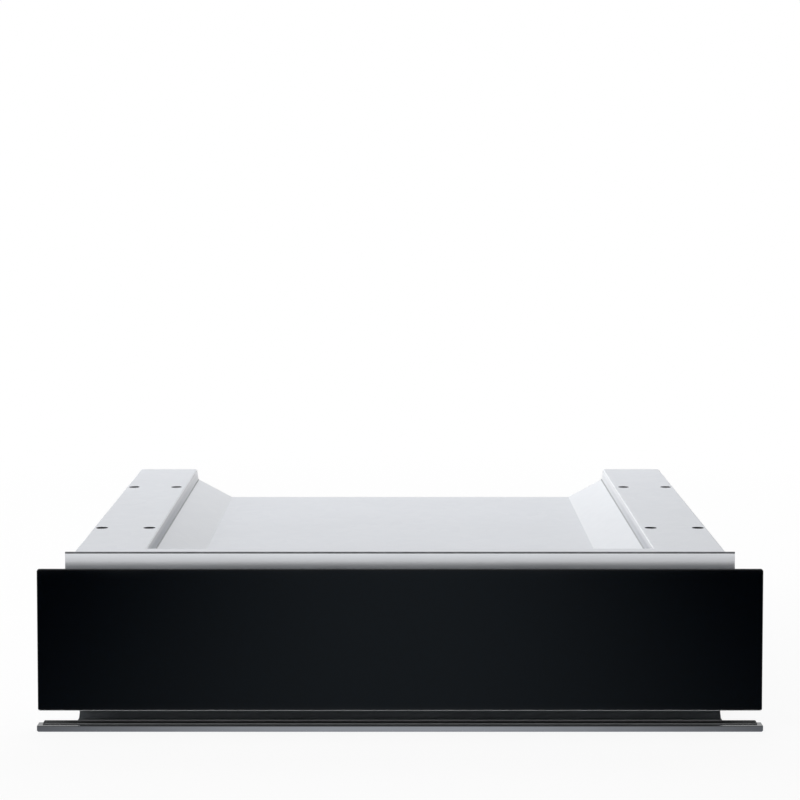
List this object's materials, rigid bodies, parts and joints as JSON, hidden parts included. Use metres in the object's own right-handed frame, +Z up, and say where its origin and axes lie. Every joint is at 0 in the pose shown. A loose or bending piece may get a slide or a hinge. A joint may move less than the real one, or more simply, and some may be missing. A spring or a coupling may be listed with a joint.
{
  "type": "built-in warming drawer",
  "caption": "Built-in warming drawer: steel housing with a recessed top cover, black glass front, telescopic ball slides, heated plate pan, fan unit and a temperature knob.",
  "frame": {"origin": "middle of the base, on the shelf's surface under the feet, halfway across the overall depth", "axes": "+Z up, +Y from the glass front to the rear panel, +X to the right seen from the front"},
  "size_m": [0.596, 0.548, 0.145],
  "materials": {
    "galvanised": "satin",
    "coated_frame": "satin",
    "black_coated": "satin",
    "brushed_bar": "brushed",
    "stainless": "brushed",
    "black_glass": "gloss",
    "dark_plate": "gloss",
    "zinc_steel": "satin",
    "cage_steel": "satin",
    "black_rubber": "matt",
    "white_plastic": "matt",
    "dark_plastic": "matt",
    "gloss_black": "gloss",
    "button_white": "satin",
    "knob_metal": "satin",
    "lamp_amber": "gloss",
    "silicone": "matt",
    "foam_tape": "matt",
    "copper_mat": "satin",
    "mineral_wool": "matt",
    "heater_steel": "satin",
    "motor_steel": "satin",
    "fan_alloy": "satin",
    "cutout_brass": "satin",
    "grey_lead": "matt"
  },
  "bodies": {
    "housing": {"base_tray": "galvanised", "left_side_panel": "galvanised", "right_side_panel": "galvanised", "rear_panel": "galvanised", "top_cover": "galvanised", "front_frame": "coated_frame", "frame_seal": "silicone", "plinth_panel": "black_coated", "sill_bar": "brushed_bar", "base_feet": "black_rubber", "housing_screws": "zinc_steel", "terminal_box": "white_plastic", "cable_gland": "dark_plastic", "latch_bodies": "dark_plastic", "arm_bracket": "zinc_steel", "left_cabinet_rail": "zinc_steel", "right_cabinet_rail": "zinc_steel", "slide_rivets": "zinc_steel", "terminal_lid": "white_plastic"},
    "drawer": {"front_glass": "black_glass", "front_bond": "foam_tape", "front_carrier": "black_coated", "front_screws": "zinc_steel", "drawer_body": "galvanised", "warming_pan": "stainless", "plate_seal": "silicone", "glass_plate": "dark_plate", "heater_mat": "copper_mat", "insulation_board": "mineral_wool", "fan_grille": "stainless", "grille_screws": "zinc_steel", "fan_duct": "galvanised", "air_heater": "heater_steel", "fan_motor": "motor_steel", "thermal_cutout": "cutout_brass", "strike_plates": "zinc_steel", "arm_catch": "zinc_steel", "control_fascia": "gloss_black", "energy_regulator": "white_plastic", "power_switch": "dark_plastic", "indicator_lens": "lamp_amber", "left_drawer_rail": "zinc_steel", "right_drawer_rail": "zinc_steel", "drawer_rivets": "zinc_steel"},
    "left_middle": {"left_middle_rail": "zinc_steel"},
    "right_middle": {"right_middle_rail": "zinc_steel"},
    "left_outer_balls": {"left_outer_cage": "cage_steel"},
    "right_outer_balls": {"right_outer_cage": "cage_steel"},
    "left_inner_balls": {"left_inner_cage": "cage_steel"},
    "right_inner_balls": {"right_inner_cage": "cage_steel"},
    "left_plunger": {"left_latch_plunger": "zinc_steel"},
    "right_plunger": {"right_latch_plunger": "zinc_steel"},
    "fan": {"fan_wheel": "fan_alloy"},
    "selector": {"temperature_knob": "knob_metal", "selector_shaft": "zinc_steel"},
    "button": {"power_button": "button_white"},
    "rear_arm": {"rear_link": "zinc_steel", "rear_lead": "grey_lead"},
    "front_arm": {"front_link": "zinc_steel", "front_lead": "grey_lead"}
  },
  "joints": [
    {"name": "drawer_slide", "type": "slide", "parent": "housing", "child": "drawer", "axis": [0, -1, 0], "range_m": [-0.003, 0.42]},
    {"name": "left_middle_slide", "type": "slide", "parent": "housing", "child": "left_middle", "axis": [0, -1, 0], "range_m": [-0.002, 0.211]},
    {"name": "left_outer_ball_slide", "type": "slide", "parent": "housing", "child": "left_outer_balls", "axis": [0, -1, 0], "range_m": [-0.00125, 0.106]},
    {"name": "left_inner_ball_slide", "type": "slide", "parent": "housing", "child": "left_inner_balls", "axis": [0, -1, 0], "range_m": [-0.00275, 0.316]},
    {"name": "right_middle_slide", "type": "slide", "parent": "housing", "child": "right_middle", "axis": [0, -1, 0], "range_m": [-0.002, 0.211]},
    {"name": "right_outer_ball_slide", "type": "slide", "parent": "housing", "child": "right_outer_balls", "axis": [0, -1, 0], "range_m": [-0.00125, 0.106]},
    {"name": "right_inner_ball_slide", "type": "slide", "parent": "housing", "child": "right_inner_balls", "axis": [0, -1, 0], "range_m": [-0.00275, 0.316]},
    {"name": "rear_arm_swing", "type": "hinge", "parent": "housing", "child": "rear_arm", "pos_m": [-0.235, 0.258, 0.018], "axis": [0, 0, 1], "range_deg": [-32.68, 0.63]},
    {"name": "front_arm_swing", "type": "hinge", "parent": "rear_arm", "child": "front_arm", "pos_m": [0.16472, 0.243, 0.03], "axis": [0, 0, 1], "range_deg": [-1.26, 65.36]},
    {"name": "left_plunger_slide", "type": "slide", "parent": "housing", "child": "left_plunger", "axis": [0, 1, 0], "range_m": [0, 0.004], "stiffness_N_per_m": 300, "springref_m": -0.004},
    {"name": "right_plunger_slide", "type": "slide", "parent": "housing", "child": "right_plunger", "axis": [0, 1, 0], "range_m": [0, 0.004], "stiffness_N_per_m": 300, "springref_m": -0.004},
    {"name": "fan_spin", "type": "hinge", "parent": "drawer", "child": "fan", "pos_m": [0, 0.16, 0.077], "axis": [0, 1, 0], "continuous": true},
    {"name": "temperature_turn", "type": "hinge", "parent": "drawer", "child": "selector", "pos_m": [0.19, -0.236, 0.103], "axis": [0, 0, -1], "range_deg": [0, 270]},
    {"name": "power_press", "type": "slide", "parent": "drawer", "child": "button", "axis": [0, 0, -1], "range_m": [0, 0.0025], "stiffness_N_per_m": 400, "springref_m": -0.001}
  ],
  "couplings": [
    {"joint": "left_middle_slide", "follows": "drawer_slide", "ratio": 0.5},
    {"joint": "left_outer_ball_slide", "follows": "drawer_slide", "ratio": 0.25},
    {"joint": "left_inner_ball_slide", "follows": "drawer_slide", "ratio": 0.75},
    {"joint": "right_middle_slide", "follows": "drawer_slide", "ratio": 0.5},
    {"joint": "right_outer_ball_slide", "follows": "drawer_slide", "ratio": 0.25},
    {"joint": "right_inner_ball_slide", "follows": "drawer_slide", "ratio": 0.75},
    {"joint": "rear_arm_swing", "follows": "drawer_slide", "rad_per_m": -1.3331},
    {"joint": "front_arm_swing", "follows": "drawer_slide", "rad_per_m": 2.6662}
  ]
}
